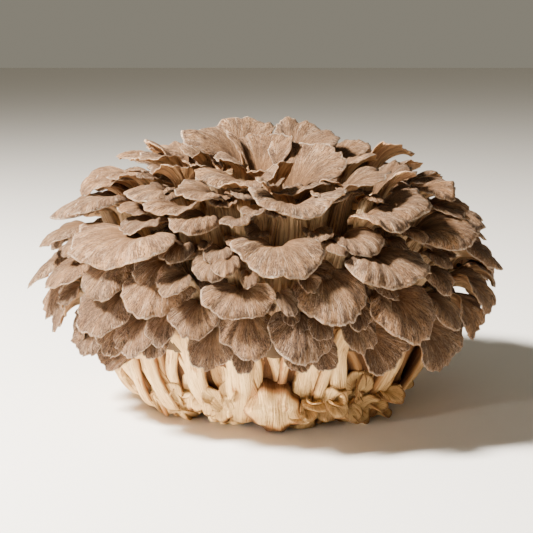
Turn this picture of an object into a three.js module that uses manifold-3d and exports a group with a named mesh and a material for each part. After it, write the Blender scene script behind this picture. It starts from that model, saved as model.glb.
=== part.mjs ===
// A maitake mushroom: one wild cluster of fan-shaped fronds on a short, pale, many-stemmed base.
// Millimetres, +Z up. The origin is the middle of the cut face that the cluster stands on; its front is -Y.
import * as THREE from "three";
import { mergeVertices } from "three/addons/utils/BufferGeometryUtils.js";
import Module from "manifold-3d";

const wasm = await Module();
wasm.setup();

const baseTop = 46; // height where the pale base ends and the head begins
const nodeGap = 0.3; // kept between the two

// The head: an oblate dome that the middles of the fronds lie on.
const headHalfWidth = 121;
const headHalfDepth = 112;
const headWaist = 78; // height of its widest level
const headRise = 76; // from the waist to the crown
const headDrop = 62; // from the waist to where the dome would close under the hem

// The stems fused inside the head, which every frond grows out of: a turned shape with a level floor.
const coreFloor = baseTop + 2 * nodeGap;
const coreProfile = [
  [0, coreFloor],
  [96, coreFloor],
  [98, 62],
  [94, 82],
  [84, 102],
  [60, 116],
  [29, 122],
  [0, 123],
];
const coreSides = 20;
const depthShare = 0.925; // the depth of the core and the base as a share of their width

// How a frond stands and spreads.
const stemFootAcross = 0.42; // its stem points away from this share of its distance from the axis, left to right,
const stemFootDeep = 0.32; // and from this share of it, front to back
const stemFootRise = 0.8; // and the feet of the fronds below the shoulder climb by this share
const shoulder = 100; // height above which every stem points away from the ground
const stemFlare = 1.2; // how much wider a stem is at its root than at the blade
const stemPitch = 84; // degrees between the start of the blade and the plane across the stem
const fanHalfAngle = 80; // degrees that the fan spreads to each side
const fanMiddle = 0.62; // share of its length at which a blade touches the dome
const sideReach = 0.3; // length of a fan's sides as a share of its middle
const rimThickness = 1.3;
const profileSteps = 12; // that a ray's curve is summed in

// The base: a trimmed butt, stems rising and flaring round it, and torn knobs at its foot.
const buttFoot = 54; // its radius at the ground and under the head
const buttTop = 86;
const flareBend = 0.45; // under 1, the base widens fastest near the ground
const frontBend = 0.8; // at the front it rises more steeply
const frontShare = 0.88; // and its top reaches this share as far
const stemRows = [
  // count, turn of the row, radius of foot and of top, half width of foot and of top
  { count: 22, turn: 4, foot: 63, top: 103, footHalf: 6, topHalf: 9 },
  { count: 19, turn: 11, foot: 59, top: 98, footHalf: 6, topHalf: 8 },
];
const stemDepth = 11; // that a stem stands out of the flesh behind it
const baseColumns = 200;
const baseRows = 10;
const rowBend = 1.5; // over 1, its rows crowd towards the ground
const basketProfile = [
  [0, -5],
  [76, -5],
  [86, 4],
  [94, 12],
  [101, 24],
  [108, baseTop + nodeGap],
  [0, baseTop + nodeGap],
]; // kept clear of fronds

const degrees = Math.PI / 180;
const mix = (a, b, share) => a + (b - a) * share;
const clamp = (value, low, high) => Math.min(high, Math.max(low, value));

// A seeded draw. It gives the same numbers wherever whole numbers are exact up to 2^53.
const drawModulus = 2 ** 31 - 1;
const drawFactor = 16807;

class Draw {
  constructor(seed) {
    this.state = (seed * 7919 + 12345) % drawModulus;
    for (let i = 0; i < 3; i++) this.unit();
  }
  unit() {
    this.state = (this.state * drawFactor) % drawModulus;
    return this.state / drawModulus;
  }
  between(low, high) {
    return mix(low, high, this.unit());
  }
}

// The fronds of the crown and the front, placed by hand. Each is the azimuth of its middle (0 is the front, + to
// the right), the height of its middle, how far it stands out of the dome, its width, its length, the turn of its
// fan about its stem, and then what its rim's slope adds to the rule: all over, to the right, and at both ends.
const frontFronds = [
  // crown
  [-150, 148, -6, 60, 38, 0, 10, -24, -20],
  [-160, 143, -56, 40, 31, -30, 42, 0, -6],
  [152, 147, -6, 46, 36, 0, 10, 20, -20],
  [54, 137, -47, 50, 34, 80, 36, 0, 0],
  [-14, 131, -26, 50, 32, -10, 0, 12, 0],
  [-66, 133, -44, 20, 22, 0, 18, 0, 0],
  [-84, 136, -58, 24, 24, 0, 25, 0, 0],
  [-66, 140, -28, 18, 22, 0, 25, 0, 0],
  // upper tier
  [-22, 128, 0, 28, 27, -35, 0, 0, 0],
  [-14, 123, -8, 14, 20, -10, 10, 0, 0],
  [8, 123, 0, 53, 33, 0, 11, -10, 0],
  [20, 127, 0, 19, 23, 10, 10, 0, 10],
  [132, 134, 0, 34, 32, 0, 22, 0, 0],
  [56, 132, -2, 26, 28, 50, 25, 0, 0],
  [37, 133, 0, 28, 32, 40, 8, 0, 0],
  [112, 123, 0, 28, 30, 0, 10, 0, 0],
  [66, 123, 2, 26, 30, 0, 5, 0, 0],
  [44, 121, 0, 34, 34, 30, 10, 0, 0],
  [34, 116, 2, 42, 34, 18, 0, -20, 0],
  [67, 114, 0, 26, 30, 0, 5, 0, 0],
  [37, 124, -4, 9, 13, 0, -10, 0, 0],
  [-63, 140, -2, 34, 32, 0, 0, 0, 0],
  [-124, 139, 0, 34, 32, 0, 15, 0, 0],
  [-66, 132, -4, 24, 28, 0, 8, 0, 0],
  [-74, 128, -4, 31, 32, 0, 0, 0, 0],
  [-62, 119, 2, 38, 36, 0, 0, 0, 0],
  [-40, 127, 0, 31, 31, 0, -5, 0, 0],
  [-26, 121, 2, 34, 26, 0, 12, 20, 0],
  [-43, 136, -4, 28, 27, 0, 15, 0, 0],
  [-54, 132, -8, 10, 16, 0, 20, 0, 0],
  [-39, 127, -4, 18, 22, 0, 5, 0, 0],
  [-20, 117, 2, 25, 32, -10, -8, 0, 0],
  [-8, 117, 0, 18, 26, 0, 10, 0, 0],
  [-3, 120, -8, 17, 26, 0, 20, 0, 0],
  // middle tier
  [57, 107, 2, 38, 37, 15, 5, 0, 0],
  [46, 106, -6, 14, 20, 0, 0, 0, 0],
  [24, 106, 0, 23, 30, 15, 0, 0, 0],
  [38, 103, -8, 13, 18, 0, 5, 0, 0],
  [-44, 118, -8, 22, 24, 0, 15, 0, 0],
  [-39, 111, -8, 27, 27, 0, 10, 0, 0],
  [-71, 102, 4, 27, 30, 0, 0, 0, 0],
  [-60, 98, 0, 19, 24, 0, 0, 0, 0],
  [-38, 101, 5, 74, 37, 0, 5, 18, 0],
  [-24, 102, -3, 18, 25, 0, 5, 0, 0],
  [3, 101, 4, 45, 36, 0, 0, 0, 18],
  [14, 110, -6, 16, 22, 0, 15, 0, 0],
  [18, 105, -2, 14, 24, 10, 10, 0, 0],
  [-13, 101, -3, 16, 18, -10, 0, 0, 0],
  [-14, 95, 0, 20, 20, -10, 0, 0, 0],
  [-9, 97, 3, 16, 18, 10, 0, 0, 0],
  [-16, 105, -4, 7, 11, 0, 5, 0, 0],
  // waist
  [31, 95, 4, 50, 38, 12, 5, -18, 0],
  [15, 82, 3, 38, 38, 0, 0, 0, -10],
  [49, 82, 0, 17, 23, 0, 0, 0, 0],
  [52, 93, -4, 11, 20, 0, 0, 0, 0],
  [31, 82, -3, 11, 18, 10, 0, 0, 0],
  [-78, 80, 4, 32, 33, 0, 5, 0, 0],
  [-61, 84, 2, 31, 32, 0, 5, 0, 0],
  [-58, 72, 2, 14, 16, 0, 15, 0, 0],
  [-45, 83, 1, 33, 29, -10, 0, 0, 0],
  [-41, 90, -2, 15, 22, -10, 0, 0, 0],
  [-27, 81, 3, 37, 33, 0, -5, 0, 0],
  [-28, 90, -4, 25, 26, 0, 0, 0, 0],
  [-22, 88, 5, 19, 20, -20, 5, 0, 0],
  [-6, 79, 3, 35, 22, 0, 5, 10, 0],
  [-5, 79, -8, 10, 12, 0, 20, 0, 0],
  [5, 79, 2, 10, 18, 20, 5, 0, 0],
  [10, 87, -2, 11, 14, 0, 15, 0, 0],
  [-4, 90, 0, 9, 14, 0, 5, 0, 0],
  [76, 89, 2, 32, 33, 0, 5, 0, 0],
  [84, 74, 3, 22, 23, 0, 5, 0, 0],
  [72, 68, 3, 36, 33, 0, 8, 0, 0],
  // skirt
  [36, 67, 3, 50, 34, 0, 0, -12, 0],
  [23, 69, -2, 18, 18, 0, 5, 0, 0],
  [29, 74, -4, 12, 14, 0, 5, 0, 0],
  [54, 63, 0, 26, 25, 0, 0, 0, 0],
  [66, 56, 5, 30, 32, -15, 5, 0, 0],
  [55, 46, 8, 44, 32, -25, 8, 0, 0],
  [23, 60, 1, 21, 24, 0, 0, 15, 0],
  [33, 47, 3, 38, 27, 0, 5, -12, 0],
  [-44, 66, 4, 34, 29, -10, 0, 0, 0],
  [-69, 57, 5, 26, 25, 15, 5, 0, 0],
  [-62, 66, 0, 26, 23, 0, 5, 0, 0],
  [-64, 52, 2, 27, 23, 12, 0, 0, 0],
  [-57, 47, 6, 26, 25, 15, 8, 0, 0],
  [-44, 52, 3, 26, 25, 0, 5, 0, 0],
  [-36, 56, 2, 28, 27, 0, 0, 0, 0],
  [-53, 44, 3, 24, 23, 15, 0, 0, 0],
  [-26, 62, 2, 19, 23, 0, 5, 0, 0],
  [-31, 53, 0, 18, 21, 0, 0, 0, 0],
  [-17, 69, 3, 26, 25, 0, 0, 0, 0],
  [6, 71, -4, 10, 12, 0, 5, 0, 0],
  [8, 67, -2, 10, 12, 0, 5, 0, 0],
  [13, 65, 0, 14, 17, 0, 15, 0, 0],
  [-5, 62, 4, 28, 31, 0, 0, 0, 0],
  [9, 61, 4, 36, 32, 0, 0, -12, 0],
  [-15, 52, 2, 25, 27, 0, 0, 0, 0],
  [-6, 47, -3, 13, 21, 0, 0, 0, 0],
  [9, 46, -2, 15, 18, 0, 5, 0, 0],
  [17, 46, -2, 16, 18, 0, 5, 0, 0],
  // inside the crown
  [10, 126, -38, 40, 18, 0, 12, 0, 0],
  [84, 137, -24, 30, 26, 0, 12, 0, 0],
];

// The tiers of the sides and the back: height, and width and length of their fronds.
const tiers = [
  [138, 46, 36],
  [124, 42, 34],
  [109, 40, 34],
  [94, 40, 34],
  [78, 38, 34],
  [63, 36, 32],
  [50, 32, 30],
];
const tiersStart = 80; // degrees of azimuth where the hand-placed front ends on the right
const tiersEnd = 284; // and on the left
const tierFill = 1.08; // spacing as a share of a frond's width

const waistRadius = (z) => {
  const half = z > headWaist ? headRise : headDrop;
  return Math.sqrt(Math.max(0.02, 1 - ((z - headWaist) / half) ** 2));
};

// The slope of a rim by its height: upright at the crown, level above the waist, hanging at the skirt.
const rimSlope = (z) => {
  const stops = [
    [44, -84],
    [62, -74],
    [85, -60],
    [108, -45],
    [128, -28],
    [142, -6],
    [158, 36],
  ];
  const next = stops.findIndex(([height]) => z < height);
  if (next <= 0) return stops[next === 0 ? 0 : stops.length - 1][1];
  const [[low, from], [high, to]] = [stops[next - 1], stops[next]];
  return mix(from, to, (z - low) / (high - low));
};

function backFronds() {
  const draw = new Draw(77);
  const placed = [];
  tiers.forEach(([height, width, length], row) => {
    const round = waistRadius(height);
    const step = (width * tierFill) / (round * headHalfDepth) / degrees;
    const count = Math.max(2, Math.round((tiersEnd - tiersStart) / step));
    for (let i = 0; i < count; i++) {
      const along = (i + 0.5 * (row % 2) + 0.25 + draw.between(-0.16, 0.16)) / count;
      const z = height + draw.between(-4, 4);
      const size = draw.between(0.72, 1.25);
      placed.push([
        mix(tiersStart, tiersEnd, along),
        z,
        draw.between(-3, 3),
        width * size,
        length * mix(1, size, 0.6),
        draw.between(-22, 22),
        draw.between(-10, 10),
        0,
        0,
      ]);
    }
  });
  return placed;
}

// Where a frond stands and how it waves: its axes, its neck and the shape of its rim.
function growFrond([azimuth, height, out, width, length, turn, tilt, lean, cup], index) {
  const draw = new Draw(index + 1);
  const round = waistRadius(height);
  const facing = azimuth * degrees;
  const radial = new THREE.Vector3(Math.sin(facing), -Math.cos(facing), 0);
  const middle = new THREE.Vector3(
    radial.x * (headHalfWidth * round + out),
    radial.y * (headHalfDepth * round + out),
    height,
  );
  const foot = new THREE.Vector3(
    middle.x * stemFootAcross,
    middle.y * stemFootDeep,
    Math.max(0, shoulder - height) * stemFootRise,
  );
  const up = middle.clone().sub(foot).normalize();
  const rise = Math.asin(up.z) / degrees;
  const down = radial.clone().addScaledVector(up, -radial.dot(up)).normalize();
  down.applyAxisAngle(up, turn * degrees);
  const across = new THREE.Vector3().crossVectors(up, down);
  const frond = {
    width,
    length,
    up,
    down,
    across,
    rimPitch: rimSlope(height) + tilt + 90 - rise,
    bend: mix(0.45, 0.95, clamp((height - 80) / 70, 0, 1)) * draw.between(0.85, 1.2),
    sideLift: cup + draw.between(-14, 22),
    lean: lean + draw.between(-12, 12),
    skew: draw.between(-0.16, 0.16),
    waves: draw.between(2.2, 3.4),
    waveStart: draw.between(0, 6.28),
    waveHeight: width * draw.between(0.035, 0.075),
    lobes: draw.between(1.4, 2.3),
    lobeStart: draw.between(0, 3.14),
    lobeDepth: draw.between(0.03, 0.15),
    neck: 1.2 + width * 0.04,
    flesh: 1.6 + width * 0.055,
    stem: draw.between(39, 51),
    spread: 1,
  };
  const halves = [-0.9, -0.7, -0.5, 0.5, 0.7, 0.9].map(
    (t) => (frond.neck + rayEnd(frond, 1, t).reach) * Math.sin(Math.abs(t) * fanHalfAngle * degrees),
  );
  frond.spread = clamp(width / 2 / Math.max(...halves), 0.4, 3);
  frond.root = new THREE.Vector3();
  frond.root = middle.clone().sub(bladePoint(frond, fanMiddle, 0));
  return frond;
}

// How far a ray at share t across the fan has gone outwards and upwards by share s of its length.
function rayEnd(frond, s, t) {
  const outline = mix(sideReach, 1, Math.sqrt(Math.max(0, 1 - Math.abs(t) ** 3)));
  const angle = t * fanHalfAngle * degrees;
  const notch = Math.abs(Math.cos(frond.lobes * angle + frond.lobeStart)) ** 0.6;
  const lobed = 1 + frond.lobeDepth * (notch - 1);
  const length = frond.length * outline * lobed * (1 + frond.skew * t);
  const endPitch = frond.rimPitch + frond.sideLift * t * t + frond.lean * t;
  let reach = 0;
  let rise = 0;
  let pitch = stemPitch;
  for (let i = 0; i < profileSteps; i++) {
    const u = (s * (i + 0.5)) / profileSteps;
    pitch = mix(stemPitch, endPitch, u ** frond.bend) * degrees;
    reach += Math.cos(pitch);
    rise += Math.sin(pitch);
  }
  const step = (length * s) / profileSteps;
  return { reach: reach * step, rise: rise * step, pitch };
}

// A point of a frond's upper face: s runs from the stem's root at -1 through the neck at 0 to the rim at 1,
// and t runs across it from -1 to 1.
function bladePoint(frond, s, t) {
  const angle = t * fanHalfAngle * degrees;
  const { reach, rise, pitch } = rayEnd(frond, Math.max(0, s), t);
  const lift = Math.max(0, s) ** 2 * frond.waveHeight * rimWave(frond, angle);
  const outwards = frond.neck * (1 - stemFlare * Math.min(0, s)) + reach - lift * Math.sin(pitch);
  const upwards = rise + lift * Math.cos(pitch) + Math.min(0, s) * frond.stem;
  const point = frond.root.clone();
  point.addScaledVector(frond.down, outwards * Math.cos(angle));
  point.addScaledVector(frond.across, outwards * Math.sin(angle) * frond.spread);
  return point.addScaledVector(frond.up, upwards);
}

function rimWave(frond, angle) {
  const slow = Math.sin(frond.waves * angle + frond.waveStart);
  return slow + 0.4 * Math.sin(2.3 * frond.waves * angle + 2 * frond.waveStart);
}

// The flesh's depth below the upper face: full in the stem, thin at the rim.
const fleshDepth = (frond, s) => rimThickness + frond.flesh * (1 - clamp(s, 0, 1)) ** 2;

function bladeNormal(frond, s, t) {
  const nudge = 0.02;
  const alongS = bladePoint(frond, s + nudge, t).sub(bladePoint(frond, s - nudge, t));
  const alongT = bladePoint(frond, s, t + nudge).sub(bladePoint(frond, s, t - nudge));
  return alongS.cross(alongT).normalize();
}

// Rows from root to rim, each a share of the frond's length and a count of steps across it.
const rootShare = -0.42; // where on its stem a frond's solid starts

function rowsFor(width) {
  if (width > 50) return [[rootShare, 1], [0.35, 2], [0.7, 4], [1, 6]];
  if (width > 33) return [[rootShare, 1], [0.35, 2], [1, 5]];
  if (width > 22) return [[rootShare, 1], [0.4, 1], [1, 4]];
  return [[rootShare, 1], [1, 3]];
}

function frondGeometry(frond) {
  const rows = rowsFor(frond.width);
  const points = [];
  const sheets = [1, 0].map((isUpper) =>
    rows.map(([s, steps]) =>
      Array.from({ length: steps + 1 }, (_, i) => {
        const t = (2 * i) / steps - 1;
        const point = bladePoint(frond, s, t);
        if (!isUpper) point.addScaledVector(bladeNormal(frond, s, t), -fleshDepth(frond, s));
        points.push(point);
        return points.length - 1;
      }),
    ),
  );
  const [upper, lower] = sheets;
  const faces = [];
  for (let row = 0; row + 1 < rows.length; row++) {
    for (const [a, b, c] of zip(upper[row], upper[row + 1])) faces.push([a, b, c]);
    for (const [a, b, c] of zip(lower[row], lower[row + 1])) faces.push([a, c, b]);
  }
  const last = rows.length - 1;
  const outline = [
    ...upper.map((row) => row[0]),
    ...upper[last].slice(1),
    ...upper.slice(0, -1).map((row) => row[row.length - 1]).reverse(),
    ...upper[0].slice(1, -1).reverse(),
  ];
  const shift = lower[0][0] - upper[0][0];
  outline.forEach((a, i) => {
    const b = outline[(i + 1) % outline.length];
    faces.push([b, a, a + shift], [b, a + shift, b + shift]);
  });
  return closedGeometry(points, faces);
}

// Triangles between two rows of different counts, wound to face up.
function zip(near, far) {
  const faces = [];
  let i = 0;
  let j = 0;
  while (i < near.length - 1 || j < far.length - 1) {
    const nearNext = (i + 1) / (near.length - 1);
    const farNext = (j + 1) / (far.length - 1);
    if (farNext <= nearNext) faces.push([near[i], far[j], far[++j]]);
    else faces.push([near[i], far[j], near[++i]]);
  }
  return faces;
}

function closedGeometry(points, faces) {
  const geometry = new THREE.BufferGeometry().setFromPoints(points);
  geometry.setIndex(faces.flat());
  return geometry;
}

const weldDistance = 1e-3;

function solidOf(geometry) {
  const bare = geometry.clone();
  bare.deleteAttribute("normal");
  bare.deleteAttribute("uv");
  const merged = mergeVertices(bare, weldDistance);
  const made = new wasm.Manifold(
    new wasm.Mesh({
      numProp: 3,
      vertProperties: merged.attributes.position.array,
      triVerts: new Uint32Array(merged.index.array),
    }),
  );
  return made;
}

// A solid's corners, each moved to the nearest point of a grid, so that no two lie closer than its step.
function geometryOf(solid) {
  const { vertProperties, triVerts } = solid.getMesh();
  const geometry = new THREE.BufferGeometry();
  const snapped = vertProperties.map((value) => Math.round(value / weldDistance) * weldDistance);
  geometry.setAttribute("position", new THREE.BufferAttribute(snapped, 3));
  geometry.setIndex(new THREE.BufferAttribute(triVerts, 1));
  return geometry;
}

const fused = (solids) => solids.reduce((whole, solid) => whole.add(solid));

// The one body that holds together. Near-equal corners are welded, and scraps and the pockets that this seals
// dropped, until nothing more comes loose.
function oneBody(solid) {
  const bodies = solidOf(geometryOf(solid)).decompose();
  const body = bodies.reduce((a, b) => (b.volume() > a.volume() ? b : a));
  return body.numTri() === solid.numTri() ? body : oneBody(body);
}

const touchGap = 0.04;

// Where two blades just touch, their corners coincide: all but the first are drawn a little into their blade.
function drawnApart(geometry) {
  geometry.computeVertexNormals();
  const { position, normal } = geometry.attributes;
  const taken = new Set();
  for (let i = 0; i < position.count; i++) {
    const corner = new THREE.Vector3().fromBufferAttribute(position, i);
    const place = corner.toArray().map((value) => value.toFixed(3)).join();
    if (taken.has(place)) {
      corner.addScaledVector(new THREE.Vector3().fromBufferAttribute(normal, i), -touchGap);
      position.setXYZ(i, corner.x, corner.y, corner.z);
    }
    taken.add(place);
  }
  return geometry;
}

const turned = (profile, sides) => {
  const outline = profile.map(([radius, z]) => new THREE.Vector2(radius, z));
  return solidOf(new THREE.LatheGeometry(outline, sides).rotateX(Math.PI / 2).scale(1, depthShare, 1));
};

// Torn knobs round the foot: azimuth, distance from the axis, height, half width, depth, half height.
const frontKnobs = [
  [3, 62, 14, 14.5, 17, 15],
  [-9, 60, 9, 7, 13, 9],
  [-21, 61, 8, 9, 12, 9],
  [-34, 62, 7, 9, 12, 8],
  [-48, 64, 6, 10, 13, 7],
  [15, 61, 6, 7, 12, 8],
  [24, 62, 10, 9, 14, 11],
  [35, 63, 7, 9, 13, 8],
  [46, 65, 8, 9, 13, 8],
  [60, 67, 8, 10, 13, 7],
];
const backKnobs = 10;

// The radius that the flare has at an azimuth and height, from that of its foot and of its top.
function flare(foot, top, around, z) {
  const frontness = Math.max(0, Math.cos(around * degrees)) ** 2;
  return mix(foot, top * mix(1, frontShare, frontness), (z / baseTop) ** mix(flareBend, frontBend, frontness));
}

// What stands out of the butt: each stem and each knob as a function of azimuth and height that gives its radius.
function baseRidges() {
  const draw = new Draw(301);
  const ridges = [];
  for (const row of stemRows) {
    for (let i = 0; i < row.count; i++) {
      const azimuth = (360 * (i + draw.between(-0.28, 0.28))) / row.count + row.turn;
      const swing = draw.between(-8, 8);
      const foot = row.foot + draw.between(-3, 2);
      const top = row.top + draw.between(-5, 2);
      const size = draw.between(0.75, 1.25);
      ridges.push((around, z) => {
        const share = z / baseTop;
        const radius = flare(foot, top, around, z);
        const half = mix(row.footHalf, row.topHalf, share) * size * (1 - 0.2 * Math.sin(Math.PI * share));
        const aside = (apart(around, azimuth + swing * share) * degrees * radius) / half;
        return Math.abs(aside) < 1 ? radius - stemDepth * (1 - Math.sqrt(1 - aside ** 2)) : 0;
      });
    }
  }
  const knobs = [...frontKnobs];
  for (let i = 0; i < backKnobs; i++) {
    const half = draw.between(8, 13);
    const azimuth = mix(75, 295, (i + draw.between(0.2, 0.8)) / backKnobs);
    knobs.push([azimuth, draw.between(63, 68), draw.between(5, 11), half, half * 1.2, half * 0.9]);
  }
  for (const [azimuth, distance, height, width, depth, rise] of knobs) {
    ridges.push((around, z) => {
      const aside = (apart(around, azimuth) * degrees * distance) / width;
      const left = 1 - aside ** 2 - ((z - height) / rise) ** 2;
      return left > 0 ? distance + depth * Math.sqrt(left) : 0;
    });
  }
  return ridges;
}

const apart = (one, other) => ((one - other + 540) % 360) - 180;

// Everything pale below the fronds: level at the ground and under the head, raised into stems and knobs between.
function baseGeometry() {
  const ridges = baseRidges();
  const points = [new THREE.Vector3(0, 0, 0), new THREE.Vector3(0, 0, baseTop)];
  const faces = [];
  for (let row = 0; row <= baseRows; row++) {
    const z = baseTop * (row / baseRows) ** rowBend;
    for (let column = 0; column < baseColumns; column++) {
      const around = (360 * column) / baseColumns;
      const radius = Math.max(flare(buttFoot, buttTop, around, z), ...ridges.map((ridge) => ridge(around, z)));
      const facing = around * degrees;
      points.push(new THREE.Vector3(Math.sin(facing) * radius, -Math.cos(facing) * radius * depthShare, z));
    }
  }
  for (let column = 0; column < baseColumns; column++) {
    const next = (column + 1) % baseColumns;
    const top = 2 + baseRows * baseColumns;
    faces.push([0, 2 + next, 2 + column], [1, top + column, top + next]);
    for (let row = 0; row < baseRows; row++) {
      const a = 2 + row * baseColumns + column;
      const b = 2 + row * baseColumns + next;
      faces.push([a, b, b + baseColumns], [a, b + baseColumns, a + baseColumns]);
    }
  }
  return closedGeometry(points, faces);
}

function crownSolid() {
  const fronds = [...frontFronds, ...backFronds()].map(growFrond);
  const blades = fronds.map((frond) => solidOf(frondGeometry(frond)));
  const whole = fused([turned(coreProfile, coreSides), ...blades]);
  return oneBody(whole.subtract(turned(basketProfile, coreSides)));
}

function meshOf(name, geometry, material) {
  geometry.computeVertexNormals();
  const mesh = new THREE.Mesh(geometry, material);
  mesh.name = name;
  return mesh;
}

const stemFlesh = new THREE.MeshStandardMaterial({ color: 0xe6d3ac, roughness: 0.75, metalness: 0 });
const capSkin = new THREE.MeshStandardMaterial({ color: 0x8f7358, roughness: 0.85, metalness: 0 });

const maitake = new THREE.Group();
maitake.add(meshOf("stem_base", baseGeometry(), stemFlesh));
maitake.add(meshOf("frond_crown", drawnApart(geometryOf(crownSolid())), capSkin));

export default maitake;
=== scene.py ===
import math

import bpy
import numpy as np
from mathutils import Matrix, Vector


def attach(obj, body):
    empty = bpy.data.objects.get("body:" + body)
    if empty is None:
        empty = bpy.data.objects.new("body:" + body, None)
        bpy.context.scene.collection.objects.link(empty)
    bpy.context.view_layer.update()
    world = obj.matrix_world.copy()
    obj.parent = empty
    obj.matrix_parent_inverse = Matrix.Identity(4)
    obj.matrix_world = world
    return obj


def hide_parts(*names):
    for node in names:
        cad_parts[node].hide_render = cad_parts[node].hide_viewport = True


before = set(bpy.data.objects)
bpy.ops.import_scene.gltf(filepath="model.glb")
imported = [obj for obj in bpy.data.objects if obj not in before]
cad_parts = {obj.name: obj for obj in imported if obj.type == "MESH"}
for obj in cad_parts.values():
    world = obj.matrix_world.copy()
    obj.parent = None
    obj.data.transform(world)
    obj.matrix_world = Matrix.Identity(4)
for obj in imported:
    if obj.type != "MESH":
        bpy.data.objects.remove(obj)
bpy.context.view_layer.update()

mm = 0.001
degrees = math.pi / 180

viewpoint = {
    "target": (0, 0, 0.076),  # metres
    "distance": 0.711,
    "elevation": 10.5,  # degrees above the floor, from the front
    "lens": 85,
    "sensor": 36,
}


def addCamera():
    rise = viewpoint["elevation"] * degrees
    away = Vector((0, -math.cos(rise), math.sin(rise))) * viewpoint["distance"]
    place = Vector(viewpoint["target"]) + away
    bpy.ops.object.camera_add(location=place, rotation=(math.pi / 2 - rise, 0, 0))
    camera = bpy.context.object
    camera.data.lens = viewpoint["lens"]
    camera.data.sensor_width = viewpoint["sensor"]
    bpy.context.scene.camera = camera


addCamera()
print("camera set")


def mix(a, b, share):
    return a + (b - a) * share


def clamp(value, low, high):
    return max(low, min(high, value))


def smooth(low, high, value):
    share = np.clip((value - low) / (high - low), 0, 1)
    return share * share * (3 - 2 * share)


# A seeded draw that gives the same numbers on any machine.
class Draw:
    modulus = 2147483647
    factor = 16807
    seedStride = 7919
    seedStart = 12345
    skipped = 3  # first numbers, which are too alike from seed to seed

    def __init__(self, seed):
        self.state = (seed * self.seedStride + self.seedStart) % self.modulus
        for _ in range(self.skipped):
            self.unit()

    def unit(self):
        self.state = self.state * self.factor % self.modulus
        return self.state / self.modulus

    def between(self, low, high):
        return mix(low, high, self.unit())

    def either(self, most):
        return self.between(-most, most)


def deselect():
    bpy.ops.object.select_all(action="DESELECT")


def joined(objects, name):
    deselect()
    for item in objects:
        item.select_set(True)
    bpy.context.view_layer.objects.active = objects[0]
    if len(objects) > 1:
        bpy.ops.object.join()
    whole = bpy.context.object
    whole.name = name
    whole.data.name = name
    return whole


def placesOf(mesh):
    flat = np.empty(len(mesh.vertices) * 3, np.float32)
    mesh.vertices.foreach_get("co", flat)
    return flat.reshape(-1, 3).astype(float)


def movePoints(mesh, places):
    mesh.vertices.foreach_set("co", np.asarray(places, np.float32).ravel())
    mesh.update()


def setFloats(mesh, name, values):
    layer = mesh.attributes.new(name, "FLOAT", "POINT")
    layer.data.foreach_set("value", np.asarray(values, np.float32).ravel())


# The place in a grain of fibres: across them, along them, and a third part that sets each piece's apart.
def setGrain(mesh, across, along, apart):
    place = np.stack([across, along, np.full(len(along), float(apart))], 1)
    layer = mesh.attributes.new("fanPlace", "FLOAT_VECTOR", "POINT")
    layer.data.foreach_set("vector", np.asarray(place, np.float32).ravel())


def smoothed(piece):
    for polygon in piece.data.polygons:
        polygon.use_smooth = True
    return piece


def linked(mesh, name):
    piece = bpy.data.objects.new(name, mesh)
    bpy.context.collection.objects.link(piece)
    return smoothed(piece)


def unitVector(vector):
    return vector / np.linalg.norm(vector)


def outwardsAt(azimuth):
    return np.array([math.sin(azimuth * degrees), -math.cos(azimuth * degrees), 0])


# The fronds follow the rules of the solid head, worked finer. Sizes of the mushroom are in millimetres and
# its angles in degrees, but where a wave, a rib or a scallop starts is in radians.
head = {
    "halfWidth": 121,
    "halfDepth": 112,
    "depthShare": 0.925,  # depth of the core and the base as a share of their width
    "waist": 78,  # height of its widest level
    "rise": 76,  # from the waist to where the dome would close at the top
    "drop": 62,  # and under the hem
    "leastRound": 0.02,  # keeps it open past both
    "shoulder": 100,  # above this height every stem points away from the ground
    "stemFootAcross": 0.42,  # where a stem points away from: share of its frond's place left to right,
    "stemFootDeep": 0.32,  # front to back,
    "stemFootRise": 0.8,  # and of how far it is below the shoulder
    "rimSlopes": [  # height, and the slope of the rims there
        (44, -84), (62, -74), (85, -60), (108, -45), (128, -28), (142, -6), (158, 36),
    ],
}
blade = {
    "stemPitch": 84,
    "halfAngle": 80,  # that the fan spreads to each side
    "sideReach": 0.3,  # length of a fan's sides as a share of its middle
    "fanMiddle": 0.62,  # share of its length at which a blade touches the dome
    "widthSamples": (-0.9, -0.7, -0.5, 0.5, 0.7, 0.9),  # places across a fan where its width is measured
    "spreads": (0.4, 3),  # least and most by which a fan is stretched to its own width
    "bends": (0.45, 0.95),  # how late a ray turns over, low and high in the head
    "bendHeights": (80, 150),  # what counts as low and as high
    "neck": 1.2,  # radius of the neck, and what each millimetre of width adds to it
    "neckGrowth": 0.04,
    "flesh": 1.6,  # thickness that is added there, likewise
    "fleshGrowth": 0.055,
    "stemFlare": 1.2,  # how much wider than its neck a stem is at its root
    "rimThickness": 1.1,
    "edgeThickness": 0.45,
    "profileSteps": 12,
    "rimRoll": 34,  # that the last part of the rim turns over
    "pleatHeight": 0.4,
    "cordHeight": 0.02,  # of the ribs that run down under it to the stem, as a share of its width
    "crumple": 0.55,
    "frill": 0.25,
    "scallopDepth": 0.05,  # cuts into the rim, as shares of the length
    "toothDepth": 0.02,
    "nickDepth": 0.018,
    "grainRadius": 30,
    "grainStep": 7.3,
}
frondVariety = {  # least and most of what each frond draws for itself, in this order
    "bend": (0.85, 1.2),
    "sideLift": (-14, 22),
    "lean": (-12, 12),
    "skew": (-0.16, 0.16),
    "waves": (2.2, 3.4),
    "waveStart": (0, 6.28),
    "waveHeight": (0.035, 0.075),
    "lobes": (1.4, 2.3),
    "lobeStart": (0, 3.14),
    "lobeDepth": (0.03, 0.15),
    "stem": (39, 51),
}
scallopVariety = [(3.2, 5.4), (0, 3.14), (0, 6.28)]  # how close together, and two starts
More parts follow.
